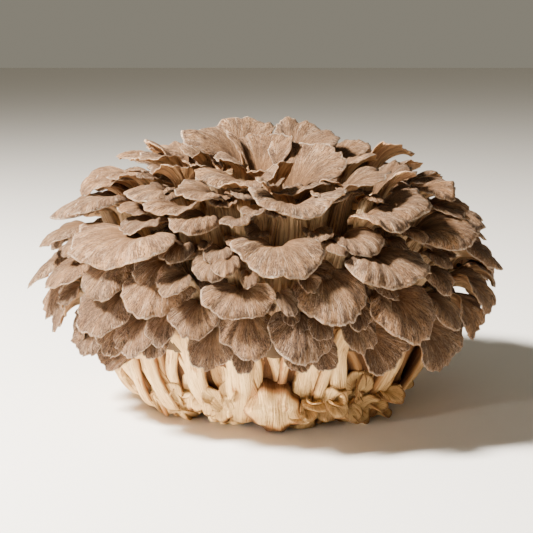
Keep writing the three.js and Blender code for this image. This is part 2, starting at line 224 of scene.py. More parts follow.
frondTonesAndShade = {  # how dark a frond is: by chance, and with painted shade towards the hem and more at the front of the hem
    "chance": 0.8,
    "hem": 0.5,
    "hemHeights": (95, 55),
    "front": 0.35,
    "frontShadeHeights": (85, 60),
    "frontShadeAzimuths": (45, 25),
}

frontFronds = [  # azimuth, height, out, width, length, turn, and the rim's slope: all, right, both ends
    # crown
    (-150, 148, -6, 60, 38, 0, 10, -24, -20), (-160, 143, -56, 40, 31, -30, 42, 0, -6),
    (152, 147, -6, 46, 36, 0, 10, 20, -20), (54, 137, -47, 50, 34, 80, 36, 0, 0),
    (-14, 131, -26, 50, 32, -10, 0, 12, 0), (-66, 133, -44, 20, 22, 0, 18, 0, 0),
    (-84, 136, -58, 24, 24, 0, 25, 0, 0), (-66, 140, -28, 18, 22, 0, 25, 0, 0),
    # upper tier
    (-22, 128, 0, 28, 27, -35, 0, 0, 0), (-14, 123, -8, 14, 20, -10, 10, 0, 0),
    (8, 123, 0, 53, 33, 0, 11, -10, 0), (20, 127, 0, 19, 23, 10, 10, 0, 10),
    (132, 134, 0, 34, 32, 0, 22, 0, 0), (56, 132, -2, 26, 28, 50, 25, 0, 0),
    (37, 133, 0, 28, 32, 40, 8, 0, 0), (112, 123, 0, 28, 30, 0, 10, 0, 0), (66, 123, 2, 26, 30, 0, 5, 0, 0),
    (44, 121, 0, 34, 34, 30, 10, 0, 0), (34, 116, 2, 42, 34, 18, 0, -20, 0),
    (67, 114, 0, 26, 30, 0, 5, 0, 0), (37, 124, -4, 9, 13, 0, -10, 0, 0), (-63, 140, -2, 34, 32, 0, 0, 0, 0),
    (-124, 139, 0, 34, 32, 0, 15, 0, 0), (-66, 132, -4, 24, 28, 0, 8, 0, 0),
    (-74, 128, -4, 31, 32, 0, 0, 0, 0), (-62, 119, 2, 38, 36, 0, 0, 0, 0),
    (-40, 127, 0, 31, 31, 0, -5, 0, 0), (-26, 121, 2, 34, 26, 0, 12, 20, 0),
    (-43, 136, -4, 28, 27, 0, 15, 0, 0), (-54, 132, -8, 10, 16, 0, 20, 0, 0),
    (-39, 127, -4, 18, 22, 0, 5, 0, 0), (-20, 117, 2, 25, 32, -10, -8, 0, 0),
    (-8, 117, 0, 18, 26, 0, 10, 0, 0), (-3, 120, -8, 17, 26, 0, 20, 0, 0),
    # middle tier
    (57, 107, 2, 38, 37, 15, 5, 0, 0), (46, 106, -6, 14, 20, 0, 0, 0, 0), (24, 106, 0, 23, 30, 15, 0, 0, 0),
    (38, 103, -8, 13, 18, 0, 5, 0, 0), (-44, 118, -8, 22, 24, 0, 15, 0, 0),
    (-39, 111, -8, 27, 27, 0, 10, 0, 0), (-71, 102, 4, 27, 30, 0, 0, 0, 0), (-60, 98, 0, 19, 24, 0, 0, 0, 0),
    (-38, 101, 5, 74, 37, 0, 5, 18, 0), (-24, 102, -3, 18, 25, 0, 5, 0, 0), (3, 101, 4, 45, 36, 0, 0, 0, 18),
    (14, 110, -6, 16, 22, 0, 15, 0, 0), (18, 105, -2, 14, 24, 10, 10, 0, 0),
    (-13, 101, -3, 16, 18, -10, 0, 0, 0), (-14, 95, 0, 20, 20, -10, 0, 0, 0),
    (-9, 97, 3, 16, 18, 10, 0, 0, 0), (-16, 105, -4, 7, 11, 0, 5, 0, 0),
    # waist
    (31, 95, 4, 50, 38, 12, 5, -18, 0), (15, 82, 3, 38, 38, 0, 0, 0, -10), (49, 82, 0, 17, 23, 0, 0, 0, 0),
    (52, 93, -4, 11, 20, 0, 0, 0, 0), (31, 82, -3, 11, 18, 10, 0, 0, 0), (-78, 80, 4, 32, 33, 0, 5, 0, 0),
    (-61, 84, 2, 31, 32, 0, 5, 0, 0), (-58, 72, 2, 14, 16, 0, 15, 0, 0), (-45, 83, 1, 33, 29, -10, 0, 0, 0),
    (-41, 90, -2, 15, 22, -10, 0, 0, 0), (-27, 81, 3, 37, 33, 0, -5, 0, 0),
    (-28, 90, -4, 25, 26, 0, 0, 0, 0), (-22, 88, 5, 19, 20, -20, 5, 0, 0), (-6, 79, 3, 35, 22, 0, 5, 10, 0),
    (-5, 79, -8, 10, 12, 0, 20, 0, 0), (5, 79, 2, 10, 18, 20, 5, 0, 0), (10, 87, -2, 11, 14, 0, 15, 0, 0),
    (-4, 90, 0, 9, 14, 0, 5, 0, 0), (76, 89, 2, 32, 33, 0, 5, 0, 0), (84, 74, 3, 22, 23, 0, 5, 0, 0),
    (72, 68, 3, 36, 33, 0, 8, 0, 0),
    # skirt
    (36, 67, 3, 50, 34, 0, 0, -12, 0), (23, 69, -2, 18, 18, 0, 5, 0, 0), (29, 74, -4, 12, 14, 0, 5, 0, 0),
    (54, 63, 0, 26, 25, 0, 0, 0, 0), (66, 56, 5, 30, 32, -15, 5, 0, 0), (55, 46, 8, 44, 32, -25, 8, 0, 0),
    (23, 60, 1, 21, 24, 0, 0, 15, 0), (33, 47, 3, 38, 27, 0, 5, -12, 0), (-44, 66, 4, 34, 29, -10, 0, 0, 0),
    (-69, 57, 5, 26, 25, 15, 5, 0, 0), (-62, 66, 0, 26, 23, 0, 5, 0, 0), (-64, 52, 2, 27, 23, 12, 0, 0, 0),
    (-57, 47, 6, 26, 25, 15, 8, 0, 0), (-44, 52, 3, 26, 25, 0, 5, 0, 0), (-36, 56, 2, 28, 27, 0, 0, 0, 0),
    (-53, 44, 3, 24, 23, 15, 0, 0, 0), (-26, 62, 2, 19, 23, 0, 5, 0, 0), (-31, 53, 0, 18, 21, 0, 0, 0, 0),
    (-17, 69, 3, 26, 25, 0, 0, 0, 0), (6, 71, -4, 10, 12, 0, 5, 0, 0), (8, 67, -2, 10, 12, 0, 5, 0, 0),
    (13, 65, 0, 14, 17, 0, 15, 0, 0), (-5, 62, 4, 28, 31, 0, 0, 0, 0), (9, 61, 4, 36, 32, 0, 0, -12, 0),
    (-15, 52, 2, 25, 27, 0, 0, 0, 0), (-6, 47, -3, 13, 21, 0, 0, 0, 0), (9, 46, -2, 15, 18, 0, 5, 0, 0),
    (17, 46, -2, 16, 18, 0, 5, 0, 0),
    # inside the crown
    (10, 126, -38, 40, 18, 0, 12, 0, 0), (84, 137, -24, 30, 26, 0, 12, 0, 0),
]
backTiers = [  # height, width, length
    (138, 46, 36), (124, 42, 34), (109, 40, 34),
    (94, 40, 34), (78, 38, 34), (63, 36, 32), (50, 32, 30),
]
backRule = {
    "seed": 77,
    "start": 80,  # azimuths that the tiers span
    "end": 284,
    "fill": 1.08,  # spacing as a share of width
    "along": 0.16,
    "height": 4,
    "size": (0.72, 1.25),
    "lengthShare": 0.6,  # of a frond's own size that its length follows
    "out": 3,
    "turn": 22,
    "tilt": 10,
}


def waistRadius(z):
    half = head["rise"] if z > head["waist"] else head["drop"]
    return math.sqrt(max(head["leastRound"], 1 - ((z - head["waist"]) / half) ** 2))


def rimSlope(z):
    slopes = head["rimSlopes"]
    if z < slopes[0][0]:
        return slopes[0][1]
    for (low, start), (high, end) in zip(slopes, slopes[1:]):
        if z < high:
            return mix(start, end, (z - low) / (high - low))
    return slopes[-1][1]


def backFronds():
    draw = Draw(backRule["seed"])
    placed = []
    span = backRule["end"] - backRule["start"]
    for row, (height, width, length) in enumerate(backTiers):
        step = width * backRule["fill"] / (waistRadius(height) * head["halfDepth"]) / degrees
        count = max(2, math.floor(span / step + 0.5))
        for i in range(count):
            along = (i + 0.5 * (row % 2) + 0.25 + draw.either(backRule["along"])) / count
            z = height + draw.either(backRule["height"])
            size = draw.between(*backRule["size"])
            out = draw.either(backRule["out"])
            turn = draw.either(backRule["turn"])
            tilt = draw.either(backRule["tilt"])
            azimuth = mix(backRule["start"], backRule["end"], along)
            ownLength = length * mix(1, size, backRule["lengthShare"])
            placed.append((azimuth, z, out, width * size, ownLength, turn, tilt, 0, 0))
    return placed


def growFrond(row, index):
    azimuth, height, out, width, length, turn, tilt, lean, cup = row
    draw = Draw(index + 1)
    own = {name: draw.between(*limits) for name, limits in frondVariety.items()}
    around = waistRadius(height)
    radial = outwardsAt(azimuth)
    middle = np.array([
        radial[0] * (head["halfWidth"] * around + out),
        radial[1] * (head["halfDepth"] * around + out),
        height,
    ])
    foot = np.array([
        middle[0] * head["stemFootAcross"],
        middle[1] * head["stemFootDeep"],
        max(0, head["shoulder"] - height) * head["stemFootRise"],
    ])
    up = unitVector(middle - foot)
    rise = math.asin(up[2]) / degrees
    down = unitVector(radial - up * radial.dot(up))
    down = down * math.cos(turn * degrees) + np.cross(up, down) * math.sin(turn * degrees)
    low, high = blade["bendHeights"]
    frond = {
        **own,
        "index": index,
        "height": height,
        "azimuth": azimuth,
        "width": width,
        "length": length,
        "up": up,
        "down": down,
        "across": np.cross(up, down),
        "rimPitch": rimSlope(height) + tilt + 90 - rise,
        "bend": mix(*blade["bends"], clamp((height - low) / (high - low), 0, 1)) * own["bend"],
        "sideLift": cup + own["sideLift"],
        "lean": lean + own["lean"],
        "waveHeight": width * own["waveHeight"],
        "neck": blade["neck"] + width * blade["neckGrowth"],
        "flesh": blade["flesh"] + width * blade["fleshGrowth"],
        "spread": 1,
        "root": np.zeros(3),
        "draw": draw,
        "detailed": False,
    }
    halves = []
    for t in blade["widthSamples"]:
        reach, _, _ = rayEnd(frond, np.array(1.0), np.array(t))
        halves.append((frond["neck"] + float(reach)) * math.sin(fanAngle(abs(t))))
    frond["spread"] = clamp(width / 2 / max(halves), *blade["spreads"])
    frond["root"] = middle - bladePoints(frond, np.array(blade["fanMiddle"]), np.array(0.0))
    frond["detailed"] = True
    return frond


def fanAngle(t):
    return t * blade["halfAngle"] * degrees


# How far a ray at share t across the fan has gone outwards and upwards by share s of its length.
def rayEnd(frond, s, t):
    outline = mix(blade["sideReach"], 1, np.sqrt(np.maximum(0, 1 - np.abs(t) ** 3)))
    angle = fanAngle(t)
    notch = np.abs(np.cos(frond["lobes"] * angle + frond["lobeStart"])) ** 0.6
    lobed = 1 + frond["lobeDepth"] * (notch - 1)
    length = frond["length"] * outline * lobed * (1 + frond["skew"] * t)
    if frond["detailed"]:
        length = length * crenulation(frond, angle, s)
    endPitch = frond["rimPitch"] + frond["sideLift"] * t * t + frond["lean"] * t
    reach = np.zeros(np.shape(s))
    rise = np.zeros(np.shape(s))
    for i in range(blade["profileSteps"]):
        u = s * (i + 0.5) / blade["profileSteps"]
        pitch = mix(blade["stemPitch"], endPitch, u ** frond["bend"])
        if frond["detailed"]:
            pitch = pitch - blade["rimRoll"] * rollShare(frond, angle) * smooth(0.72, 1, u)
        pitch = pitch * degrees
        reach = reach + np.cos(pitch)
        rise = rise + np.sin(pitch)
    step = length * s / blade["profileSteps"]
    return reach * step, rise * step, pitch


# The scallops and the ragged edge that cut into the rim.
def crenulation(frond, angle, s):
    scallops, start, phase = frond["scallops"]
    wide = np.abs(np.cos(scallops * angle + start)) ** 0.7 - 0.7
    small = np.sin(9.1 * angle + 3 * start + 1.3 * np.sin(4 * angle + phase))
    fine = np.sin(17 * angle + phase) * np.sin(6.1 * angle + start)
    fine = fine + 0.7 * np.sin(29.3 * angle + 2 * phase)
    fine = fine + 0.5 * np.sin(47 * angle + 3 * phase)
    cut = smooth(0.45, 1, s) * (blade["scallopDepth"] * wide + blade["toothDepth"] * small)
    return 1 + cut + smooth(0.85, 1, s) * blade["nickDepth"] * fine


def rollShare(frond, angle):
    _, _, phase = frond["scallops"]
    return 0.5 + 0.6 * np.sin(1.7 * angle + phase)


# Points of a frond's upper face: s runs from the stem's root at -1 through the neck at 0 to the rim at 1,
# and t runs across it from -1 to 1.
def bladePoints(frond, s, t):
    angle = fanAngle(t)
    out = np.maximum(0, s)
    below = np.minimum(0, s)
    reach, rise, pitch = rayEnd(frond, out, t)
    wave = np.sin(frond["waves"] * angle + frond["waveStart"])
    wave = wave + 0.4 * np.sin(2.3 * frond["waves"] * angle + 2 * frond["waveStart"])
    lift = out**2 * frond["waveHeight"] * wave
    if frond["detailed"]:
        scallops, start, phase = frond["scallops"]
        pleats = np.sin(scallops * 4 * angle + start)
        lift = lift + blade["pleatHeight"] * pleats * smooth(0.1, 0.8, out)
        creases = blade["crumple"] * np.sin(9 * angle + phase + 2.5 * out) * np.sin(3.1 * angle + start)
        lift = lift + creases * smooth(0.5, 1, out)
        frill = np.sin(31 * angle + 4 * phase) + 0.7 * np.sin(19 * angle + 2 * start)
        lift = lift + blade["frill"] * frill * smooth(0.8, 1, out)
    outwards = frond["neck"] * (1 - blade["stemFlare"] * below) + reach - lift * np.sin(pitch)
    upwards = rise + lift * np.cos(pitch) + below * frond["stem"]
    point = np.multiply.outer(outwards * np.cos(angle), frond["down"])
    point = point + np.multiply.outer(outwards * np.sin(angle) * frond["spread"], frond["across"])
    return frond["root"] + point + np.multiply.outer(upwards, frond["up"])


# A slab to shape each frond from: x is the place across it, y the place along it, and z the face.
def frondSlab(across, along):
    bpy.ops.mesh.primitive_grid_add(x_subdivisions=across, y_subdivisions=along, size=2, location=(0, 0, 0))
    slab = bpy.context.object
    bpy.ops.object.mode_set(mode="EDIT")
    bpy.ops.mesh.select_all(action="SELECT")
    for _ in range(2):
        bpy.ops.mesh.extrude_region_move(TRANSFORM_OT_translate={"value": (0, 0, -0.5)})
    bpy.ops.mesh.select_all(action="SELECT")
    bpy.ops.mesh.normals_make_consistent(inside=False)
    bpy.ops.object.mode_set(mode="OBJECT")
    return slab


# Where each point of a slab lies on a frond: its s, its t, and the way from the upper face to the under one.
def frondShares(slab):
    place = placesOf(slab.data)
    neckLine = -0.5
    fromNeck = place[:, 1] - neckLine
    s = np.where(fromNeck > 0, fromNeck / (1 - neckLine), fromNeck / (1 + neckLine))
    return s, place[:, 0], np.clip(-place[:, 2], 0, 1)


def shapeFrond(slab, frond):
    draw = frond["draw"]
    frond["scallops"] = [draw.between(*limits) for limits in scallopVariety]
    s, t, under = frondShares(slab)
    nudge = 0.01
    alongS = bladePoints(frond, s + nudge, t) - bladePoints(frond, s - nudge, t)
    alongT = bladePoints(frond, s, t + nudge) - bladePoints(frond, s, t - nudge)
    normal = np.cross(alongS, alongT)
    normal = normal / np.maximum(1e-9, np.linalg.norm(normal, axis=1))[:, None]
    rim = mix(blade["rimThickness"], blade["edgeThickness"], smooth(0.86, 1, s))
    depth = rim + frond["flesh"] * (1 - np.clip(s, 0, 1)) ** 2
    cords = np.abs(np.sin(9.1 * t + frond["waveStart"]))
    cords = cords + 0.6 * np.abs(np.sin(17 * t + 2 * frond["waveStart"]))
    depth = depth + blade["cordHeight"] * frond["width"] * cords * smooth(1, 0.3, s) * under
    mesh = slab.data.copy()
    movePoints(mesh, (bladePoints(frond, s, t) - normal * (depth * under)[:, None]) * mm)
    apart = frond["index"] * blade["grainStep"]
    setGrain(mesh, fanAngle(t) * blade["grainRadius"], s * frond["length"], apart)
    setFloats(mesh, "fanReach", s)
    setFloats(mesh, "fanUnder", under)
    setFloats(mesh, "fanToneAndShade", np.full(len(t), frondToneAndShade(frond)))
    setFloats(mesh, "fanWarmth", np.full(len(t), draw.unit()))
    return linked(mesh, "frond")


# Painted shade: lower fronds, and those at the front of the hem, get a darker tone on top of a random one.
def frondToneAndShade(frond):
    height = frond["height"]
    toneAndShade = frond["draw"].unit() * frondTonesAndShade["chance"]
    toneAndShade = toneAndShade + frondTonesAndShade["hem"] * smooth(*frondTonesAndShade["hemHeights"], height)
    front = smooth(*frondTonesAndShade["frontShadeAzimuths"], abs(frond["azimuth"]))
    return toneAndShade + frondTonesAndShade["front"] * smooth(*frondTonesAndShade["frontShadeHeights"], height) * front


frondPieces = {  # lowest and highest middle, and the azimuths that each piece spans
    "crownFronds": (133, 200, -90, 270),
    "upperFronds": (112, 133, -90, 90),
    "middleFronds": (92, 112, -90, 90),
    "waistFronds": (72, 92, -90, 90),
    "skirtFronds": (0, 72, -90, 90),
    "backUpperFronds": (112, 133, 90, 270),
    "backMiddleFronds": (84, 112, 90, 270),
    "backSkirtFronds": (0, 84, 90, 270),
}
frondGrain = [(33, 54, 18), (20, 40, 14), (0, 28, 11)]  # narrowest width, steps across and steps along
innerRule = {  # small fronds deep between the others
    "grain": (22, 8),
    "count": 130,
    "goldenTurn": 137.5,
    "stray": 12,
    "heights": (54, 132),
    "out": (-24, -9),
    "width": (11, 22),
    "length": (15, 24),
    "turn": 35,
    "tilt": (0, 30),
    "firstIndex": 1000,
    "crownCount": 58,  # and those that fill the nest at the top
    "crownStart": 0.7,
    "crownRadius": 62,
    "crownHeights": (117, 124),
    "crownTilt": (5, 35),
    "crownExtra": [  # larger ones that close the sight into the nest
        (-152, 137, -16, 26, 24, 0, 15, 0, 0), (-165, 132, -40, 24, 22, 0, 25, 0, 0),
        (-128, 130, -32, 24, 22, 0, 20, 0, 0), (14, 127, -22, 34, 26, 0, 35, 0, 0),
        (-8, 127, -26, 30, 26, 0, 35, 0, 0), (34, 128, -20, 26, 24, 0, 30, 0, 0),
        (4, 133, -45, 24, 20, 0, 50, 0, 0),
    ],
}


def innerFronds():
    draw = Draw(innerRule["firstIndex"])
    placed = []
    for i in range(innerRule["count"]):
        azimuth = (i * innerRule["goldenTurn"] + draw.either(innerRule["stray"])) % 360 - 180
        height = mix(*innerRule["heights"], (i + draw.unit()) / innerRule["count"])
        out = draw.between(*innerRule["out"])
        width = draw.between(*innerRule["width"])
        length = draw.between(*innerRule["length"])
        turn = draw.either(innerRule["turn"])
        placed.append((azimuth, height, out, width, length, turn, draw.between(*innerRule["tilt"]), 0, 0))
    for i in range(innerRule["crownCount"]):
        azimuth = i * innerRule["goldenTurn"] % 360 - 180
        height = draw.between(*innerRule["crownHeights"])
        share = (i + innerRule["crownStart"]) / innerRule["crownCount"]
        out = innerRule["crownRadius"] * math.sqrt(share) - head["halfWidth"] * waistRadius(height)
        width = draw.between(*innerRule["width"])
        length = draw.between(*innerRule["length"])
        placed.append((azimuth, height, out, width, length, 0, draw.between(*innerRule["crownTilt"]), 0, 0))
    return placed + innerRule["crownExtra"]


def addFronds():
    slabs = [(least, frondSlab(across, along)) for least, across, along in frondGrain]
    innerSlab = frondSlab(*innerRule["grain"])
    groups = {name: [] for name in frondPieces}
    for index, row in enumerate(frontFronds + backFronds()):
        frond = growFrond(row, index)
        slab = next(made for least, made in slabs if frond["width"] > least)
        azimuth = (frond["azimuth"] + 90) % 360 - 90
        for name, (low, high, start, end) in frondPieces.items():
            if low <= frond["height"] < high and start <= azimuth < end:
                groups[name].append(shapeFrond(slab, frond))
                break
    groups["innerFronds"] = [
        shapeFrond(innerSlab, growFrond(row, index))
        for index, row in enumerate(innerFronds(), innerRule["firstIndex"])
    ]
    for slab in [made for _, made in slabs] + [innerSlab]:
        bpy.data.objects.remove(slab)
    return [joined(members, name) for name, members in groups.items()]


def roundTemplate(sides, rings):
    bpy.ops.mesh.primitive_uv_sphere_add(segments=sides, ring_count=rings, radius=1)
    template = bpy.context.object
    return template, placesOf(template.data)


# A round to shape a body of flesh from, with each point's share of the height, azimuth and distance from
# the axis.
def roundBody(sides, rings):
    piece, place = roundTemplate(sides, rings)
    around = np.arctan2(place[:, 0], -place[:, 1])
    return piece, (place[:, 2] + 1) / 2, around, np.hypot(place[:, 0], place[:, 1])


def spot(azimuth, radius, z):
    return np.stack([np.sin(azimuth) * radius, -np.cos(azimuth) * radius * head["depthShare"], z], -1)


# The flesh inside the head that the fronds grow from.
core = {
    "profile": [(84, 40), (86, 60), (80, 80), (69, 98), (47, 111), (22, 117), (0, 119)],  # radius and height
    "sides": 160,
    "rings": 40,
    "capShare": 2.2,  # how fast its ends open to the profile
    "ribDepth": 0.05,
}


def addCore():
    piece, share, around, flat = roundBody(core["sides"], core["rings"])
    widths, heights = zip(*core["profile"])
    z = mix(heights[0], heights[-1], share)
    ribs = np.abs(np.sin(17 * around + z / 11)) + 0.6 * np.abs(np.sin(31 * around - z / 14))
    radius = np.interp(z, heights, widths) * np.minimum(1, flat * core["capShare"])
    radius = radius * (1 + core["ribDepth"] * ribs)
    movePoints(piece.data, spot(around, radius, z) * mm)
    piece.name = "headCore"
    return smoothed(piece)


# The base: a butt of flesh, and the stems, lumps and petals round it, which all follow one flare.
base = {
    "top": 46,
    "flareBend": 0.45,  # under 1, the base widens fastest near the ground
    "frontBend": 0.8,  # at the front it widens more evenly
    "frontShare": 0.88,  # and its top reaches this share as far
    "clearance": 0.3,  # that lumps and petals keep from the ground
}
butt = {
    "height": 50,
    "footRadius": 50,
    "topRadius": 88,
    "sides": 144,
    "rings": 40,
    "capShare": 3,
    "foldDepth": 0.035,
    "grainRadius": 70,
    # painted shade: the whole butt is coloured as the deep shade between the stems
    "stainAndShade": 1.6,
}


def flare(foot, top, azimuth, z):
    frontness = np.maximum(0, np.cos(azimuth)) ** 2
    share = np.clip(z / base["top"], 0.001, 2)
    bend = mix(base["flareBend"], base["frontBend"], frontness)
    return mix(foot, top * mix(1, base["frontShare"], frontness), share**bend)


def addButt():
    piece, share, around, flat = roundBody(butt["sides"], butt["rings"])
    z = share * butt["height"]
    folds = np.abs(np.sin(19 * around + z / 9)) + 0.5 * np.abs(np.sin(43 * around - z / 6))
    radius = flare(butt["footRadius"], butt["topRadius"], around, z)
    radius = radius * np.minimum(1, flat * butt["capShare"]) * (1 + butt["foldDepth"] * folds)
    movePoints(piece.data, spot(around, radius, z) * mm)
    setGrain(piece.data, around * butt["grainRadius"], z, 0)
    setFloats(piece.data, "stainAndShade", np.full(len(z), butt["stainAndShade"]))
    piece.name = "buttFlesh"
    return smoothed(piece)


# A copy of a round, moved to points in millimetres, with its grain, and its stains and painted shade.
def shapedCopy(template, points, grain, stainAndShade):
    mesh = template.data.copy()
    movePoints(mesh, points * mm)
    setGrain(mesh, *grain)
    setFloats(mesh, "stainAndShade", stainAndShade)
    return linked(mesh, "part")


stemRule = {
    "seed": 301,
    "liftSeed": 302,
    "grain": (20, 22),
    "grainStep": 9.1,
    "rows": [  # count, turn of the row, radius of foot and of top, half width of foot and of top
        (22, 4, 63, 103, 6, 9),
        (19, 11, 59, 98, 6, 8),
    ],
    "stray": 0.28,  # from its place in the row, as a share of a step
    "swing": 13,  # to the side, by the top
    "bow": 5,
    "foot": (-3, 2),  # added to the row's radii
    "top": (-5, 2),
    "size": (0.55, 1.45),
    "slimness": 0.78,  # which opens gaps between them
    "flatness": 0.7,
    "lift": (0.4, 5),  # height of a stem's lower end
    "rise": 62,  # how high the stems go on, hidden by the skirt
    "shade": 0.5,  # painted shade on the shaded side,
    "shadeSines": (0.35, 0.85),
    "behind": 0.8,  # and painted shade low down behind the largest lump
    "behindWidth": 10,
    "behindHeights": (36, 24),
}
strandRule = {  # thinner stems between them, with painted shade as they lie deeper
    "count": 84,
    "stray": 0.4,
    "swing": 20,
    "half": (2, 4.6),  # half width of the foot
    "widening": 1.3,
    "foot": (53, 61),
    "top": (90, 100),
    "out": (-6, 0),
    "low": (2, 10),
    "high": (44, 60),
    "stainAndShade": 0.5,
}


# A stem up the flare: its cross-section is a flattened, ribbed round that thins at both ends.
def stemPoints(ring, angle, stem):
    z = mix(stem["low"], stem["high"], ring)
    sway = stem["swing"] * z / base["top"] + stem["bow"] * np.sin(math.pi * ring)
    half = mix(stem["footHalf"], stem["topHalf"], ring) * (1 - 0.2 * np.sin(math.pi * ring))
    ends = np.sqrt(np.clip(1 - np.abs(2 * ring - 1) ** 12, 0, 1))
    start = stem["ribs"]
    twist = angle + start + 0.8 * ring
    ribs = 1 + 0.2 * np.abs(np.sin(2.5 * twist)) + 0.1 * np.abs(np.sin(6 * twist))
    ribs = ribs + 0.04 * np.sin(13 * twist)
    lumps = 1 + 0.2 * np.sin(6 * ring + start) * np.sin(angle + start) + 0.1 * np.sin(14 * ring + angle)
    size = half * ends * ribs * lumps
    middle = stem["azimuth"] + sway
    radius = flare(stem["foot"], stem["top"], middle, z) + stem["out"]
    proud = (np.sin(angle) * size - half) * stemRule["flatness"]
    return spot(middle + np.cos(angle) * size / radius, radius + proud, z), z


def rowStems(draw):
    lifts = Draw(stemRule["liftSeed"])
    stems = []
    for count, rowTurn, foot, top, footHalf, topHalf in stemRule["rows"]:
        for i in range(count):
            azimuth = 360 * (i + draw.either(stemRule["stray"])) / count + rowTurn
            swing = draw.either(stemRule["swing"])
            footRadius = foot + draw.between(*stemRule["foot"])
            topRadius = top + draw.between(*stemRule["top"])
            size = draw.between(*stemRule["size"]) * stemRule["slimness"]
            stems.append({
                "azimuth": azimuth * degrees, "swing": swing * degrees,
                "foot": footRadius, "top": topRadius, "out": 0,
                "footHalf": footHalf * size, "topHalf": topHalf * size,
                "low": lifts.between(*stemRule["lift"]), "high": stemRule["rise"], "stainAndShade": 0,
            })
    return stems


def strands(draw):
    stems = []
    for i in range(strandRule["count"]):
        half = draw.between(*strandRule["half"])
        azimuth = 360 * (i + draw.either(strandRule["stray"])) / strandRule["count"]
        stem = {
            "azimuth": azimuth * degrees, "swing": draw.either(strandRule["swing"]) * degrees,
            "footHalf": half, "topHalf": half * strandRule["widening"], "stainAndShade": strandRule["stainAndShade"],
        }
        for name in ("foot", "top", "out", "low", "high"):
            stem[name] = draw.between(*strandRule[name])
        stems.append(stem)
    return stems


def addStems():
    template, place = roundTemplate(*stemRule["grain"])
    ring = np.arcsin(np.clip(place[:, 2], -1, 1)) / math.pi + 0.5
    angle = np.arctan2(place[:, 1], place[:, 0])
    draw = Draw(stemRule["seed"])
    pieces = []
    for i, stem in enumerate(rowStems(draw) + strands(draw)):
        stem["ribs"] = draw.between(0, 6)
        stem["bow"] = draw.either(stemRule["bow"]) * degrees
        points, z = stemPoints(ring, angle, stem)
        shade = stemRule["shade"] * smooth(*stemRule["shadeSines"], math.sin(stem["azimuth"]))
        aside = (stem["azimuth"] / degrees - largestKnob[0]) / stemRule["behindWidth"]
        behind = stemRule["behind"] * math.exp(-aside**2) * smooth(*stemRule["behindHeights"], z)
        # Painted shade on each stem: on the shaded right side, behind the largest lump, on the thinner
        # strands, and on its sides and back where it turns into the gaps.
        stainAndShade = stem["stainAndShade"] + shade + behind + np.clip(1 - np.sin(angle), 0, 1)
        grain = (angle * stem["topHalf"], z, i * stemRule["grainStep"])
        pieces.append(shapedCopy(template, points, grain, stainAndShade))
    bpy.data.objects.remove(template)
    return joined(pieces, "baseStems")


knobRule = {
    "seed": 511,
    "grain": (40, 26),
    "crumbGrain": (20, 14),
    "grainStart": 50,
    "grainStep": 7.7,
    "front": [  # azimuth, distance from the axis, height, half width, depth, half height, the largest first
        (3, 65, 14, 15.5, 22, 15), (-9, 56, 9, 7, 13, 9), (-21, 61, 8, 9, 12, 9), (-34, 62, 7, 9, 12, 8),
        (-48, 64, 6, 10, 13, 7), (17, 56, 6, 7, 12, 8), (24, 62, 10, 9, 14, 11), (35, 63, 7, 9, 13, 8),
        (46, 65, 8, 9, 13, 8), (60, 67, 8, 10, 13, 7),
    ],
    "backCount": 10,
    "backAzimuths": (75, 295),
    "backHalf": (8, 13),
    "backDistance": (63, 68),
    "backHeight": (5, 11),
    "backStray": (0.2, 0.8),
    "backShape": (1.2, 0.9),  # depth and half height, as shares of half the width
    "crumbCount": 22,  # small torn lumps along the foot
    "crumbAzimuths": [(85, 275), (-85, 85), (-85, 85), (-85, 85)],  # taken in turn
    "crumbHalf": (2.5, 6),
    "crumbHeight": (1, 16),
    "crumbFlare": (61, 98),  # radius of foot and of top of the flare that they follow
    "crumbOut": (-1, 3),
    "crumbDepth": 1.1,
    "crumbRise": (0.7, 1.3),
    "cut": (0.1, 1, 0.15),  # which way the first facet faces
    "cutDistance": (0.86, 0.98),
    "facets": 12,
    "facetTurn": 2.4,  # radians from one to the next
    "facetStray": 0.5,
    "facetRise": 0.95,
    "facetDistance": (0.8, 1.15),
    "sharpness": 6,  # of the edges between them
    "lift": (2, 10),  # how much all but the largest are raised
    # how dark the lumps are made: a brown edge deepened by painted shade, a brown crust on top, and painted
    # shade on the right side, underneath and beside the largest
    "edgeStainAndShade": 1.1,
    "stainTop": 0.7,
    "shadeRight": 0.5,
    "shadeBelow": 0.5,
    "shadeBeside": 0.5,  # painted shade on those next to the largest
    "besideReach": 15,
}
largestKnob = knobRule["front"][0]


# How far a lump with rounded facets reaches in each direction. Its first facet is the cut, which faces
# outwards.
def facetedReach(directions, draw):
    facets = [knobRule["cut"]]
    count = knobRule["facets"]
    for i in range(count):
        turn = knobRule["facetTurn"] * i + draw.either(knobRule["facetStray"])
        rise = mix(-knobRule["facetRise"], knobRule["facetRise"], (i + 0.5) / count)
        flat = math.sqrt(1 - rise**2)
        facets.append((math.cos(turn) * flat, math.sin(turn) * flat, rise))
    distances = [draw.between(*knobRule["cutDistance"])]
    distances = distances + [draw.between(*knobRule["facetDistance"]) for _ in range(count)]
    shares = np.maximum(0, directions @ np.array(facets).T) / np.array(distances)
    return (shares ** knobRule["sharpness"]).sum(axis=1) ** (-1 / knobRule["sharpness"])


